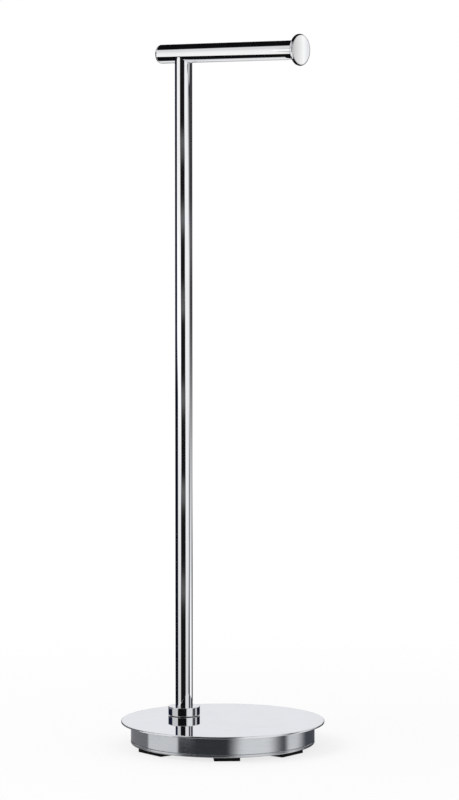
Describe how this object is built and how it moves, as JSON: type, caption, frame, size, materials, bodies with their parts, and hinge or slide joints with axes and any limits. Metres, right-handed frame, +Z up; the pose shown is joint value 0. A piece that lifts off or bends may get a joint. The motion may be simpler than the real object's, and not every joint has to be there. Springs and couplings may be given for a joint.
{
  "type": "freestanding toilet paper holder",
  "caption": "Freestanding toilet paper holder: a weighted round base, an off-centre pole on a low collar and one short horizontal arm with an end disc.",
  "frame": {"origin": "on the floor under the middle of the round base", "axes": "+Z up along the pole, +X the way the arm points, y = 0 the plane of symmetry"},
  "size_m": [0.21, 0.21, 0.7295],
  "materials": {
    "mirror_chrome": "polished mirror chrome plate",
    "brushed_steel": "stainless steel brushed round the drum",
    "cast_weight": "sand-cast iron under black paint",
    "zinc_steel": "bright zinc-plated steel",
    "black_rubber": "matt black moulded rubber",
    "black_nylon": "black nylon"
  },
  "bodies": {
    "base": {"base_top_plate": "mirror_chrome", "base_skirt": "brushed_steel", "base_weight": "cast_weight", "base_bottom_plate": "brushed_steel", "foot_pad_1": "black_rubber", "foot_pad_2": "black_rubber", "foot_pad_3": "black_rubber", "foot_pad_4": "black_rubber", "foot_pad_5": "black_rubber", "foot_pad_6": "black_rubber", "foot_pad_7": "black_rubber", "weld_stud_1": "zinc_steel", "weld_stud_2": "zinc_steel", "weld_stud_3": "zinc_steel", "weld_stud_4": "zinc_steel", "stud_washer_1": "zinc_steel", "stud_washer_2": "zinc_steel", "stud_washer_3": "zinc_steel", "stud_washer_4": "zinc_steel", "stud_nut_1": "zinc_steel", "stud_nut_2": "zinc_steel", "stud_nut_3": "zinc_steel", "stud_nut_4": "zinc_steel", "bottom_screw_1": "zinc_steel", "bottom_screw_2": "zinc_steel", "bottom_screw_3": "zinc_steel", "foot_washer": "black_nylon"},
    "post": {"foot_collar": "mirror_chrome", "pole_tube": "mirror_chrome", "pole_foot_bush": "zinc_steel", "pole_top_bush": "zinc_steel", "tie_rod": "zinc_steel", "tie_washer": "zinc_steel", "tie_spring_washer": "zinc_steel", "tie_nut": "zinc_steel", "arm_tube": "mirror_chrome", "arm_cross_nut": "zinc_steel", "arm_rear_cap": "mirror_chrome", "arm_front_plug": "zinc_steel", "end_disc": "mirror_chrome", "end_disc_stud": "zinc_steel"}
  },
  "joints": [
    {"name": "pole_swivel", "type": "hinge", "parent": "base", "child": "post", "pos_m": [-0.051, 0, 0.0275], "axis": [0, 0, 1], "continuous": true}
  ]
}
